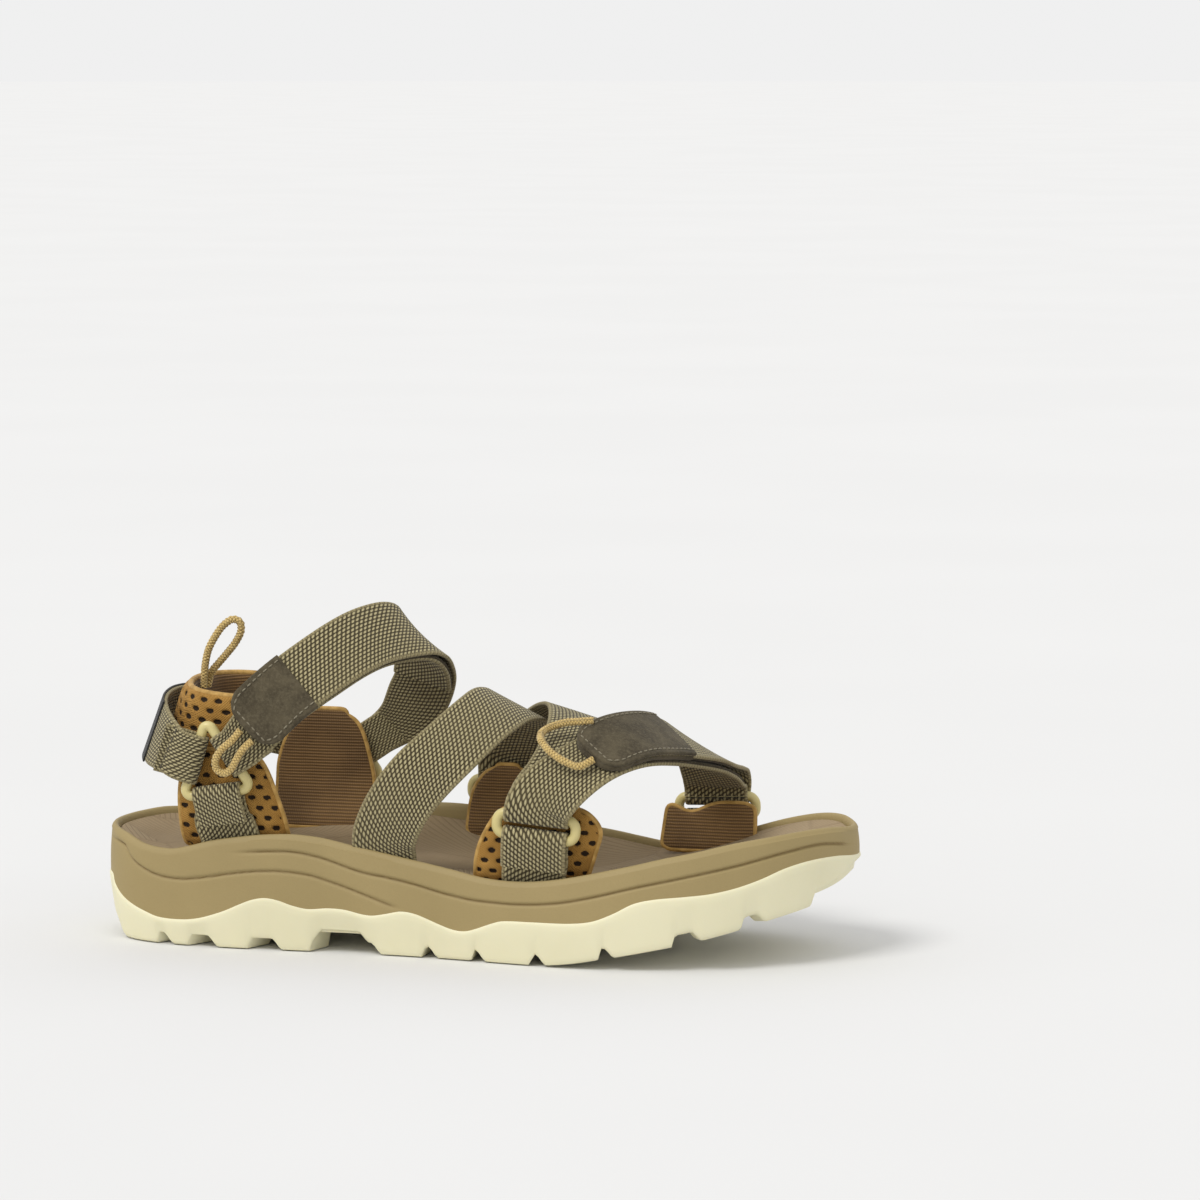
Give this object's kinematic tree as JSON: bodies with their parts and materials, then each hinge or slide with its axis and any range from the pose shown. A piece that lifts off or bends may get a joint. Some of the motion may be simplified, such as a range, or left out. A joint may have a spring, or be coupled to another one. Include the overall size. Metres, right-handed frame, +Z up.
{
  "type": "strappy sport sandal",
  "caption": "Right-foot sport sandal: lugged sole, dished footbed and webbing straps through rings, closed by hook-and-loop flaps, with padded strap seats and cord pull loops.",
  "frame": {"origin": "centre of the overall box at the ground plane under the lugs", "axes": "+X towards the toe along the sole, +Y towards the inner (medial) side of the foot, +Z up from the ground"},
  "size_m": [0.295, 0.1058, 0.1318],
  "materials": {
    "outsole": "matte moulded",
    "midsole": "matte fine-grained foam",
    "footbed": "matte ribbed",
    "webbing": "woven",
    "padding": "knit mesh",
    "ring": "satin",
    "hook_and_loop": "pile",
    "suede": "suede",
    "cord": "braided",
    "label": "woven satin"
  },
  "bodies": {
    "sandal": {"heel_strap": "webbing", "ankle_under_strap": "webbing", "ankle_strap": "webbing", "midfoot_strap": "webbing", "cross_strap": "webbing", "forefoot_strap": "webbing", "forefoot_turn": "webbing", "lateral_heel_anchor": "webbing", "medial_heel_anchor": "webbing", "lateral_forefoot_anchor": "webbing", "medial_midfoot_anchor": "webbing", "medial_front_anchor": "webbing", "lateral_heel_pad": "padding", "medial_ankle_pad": "padding", "medial_mid_pad": "padding", "lateral_forefoot_pad": "padding", "medial_front_pad": "padding", "heel_collar": "padding", "lateral_heel_ring": "ring", "medial_heel_ring": "ring", "lateral_forefoot_ring": "ring", "medial_midfoot_ring": "ring", "medial_front_ring": "ring", "ankle_loop_patch": "hook_and_loop", "forefoot_loop_patch": "hook_and_loop", "outsole": "outsole", "midsole": "midsole", "footbed": "footbed", "heel_label": "label"},
    "ankle_flap": {"ankle_flap": "webbing", "ankle_hook_patch": "hook_and_loop", "ankle_tab": "suede"},
    "forefoot_flap": {"forefoot_flap": "webbing", "forefoot_hook_patch": "hook_and_loop", "forefoot_tab": "suede"},
    "ankle_pull": {"ankle_pull_cord": "cord"},
    "forefoot_pull": {"forefoot_pull_cord": "cord"},
    "heel_pull": {"heel_pull_cord": "cord"}
  },
  "joints": [
    {"name": "ankle_flap_peel", "type": "hinge", "parent": "sandal", "child": "ankle_flap", "pos_m": [-0.02379, 0.00472, 0.118], "axis": [-0.7306, 0.4515, 0.5122], "range_deg": [0, 110]},
    {"name": "forefoot_flap_peel", "type": "hinge", "parent": "sandal", "child": "forefoot_flap", "pos_m": [0.08459, 0.03269, 0.06957], "axis": [-0.9649, 0.1573, 0.2105], "range_deg": [0, 120]},
    {"name": "ankle_pull_swing", "type": "hinge", "parent": "ankle_flap", "child": "ankle_pull", "pos_m": [-0.08311, -0.04637, 0.0804], "axis": [-0.6396, 0.0426, 0.7675], "range_deg": [0, 60]},
    {"name": "forefoot_pull_swing", "type": "hinge", "parent": "forefoot_flap", "child": "forefoot_pull", "pos_m": [0.04699, -0.04107, 0.0821], "axis": [-0.2888, 0.6286, 0.7221], "range_deg": [-15, 15]},
    {"name": "heel_pull_swing", "type": "hinge", "parent": "sandal", "child": "heel_pull", "pos_m": [-0.10951, -0.00007, 0.0955], "axis": [0, 1, 0], "range_deg": [0, 40]}
  ]
}
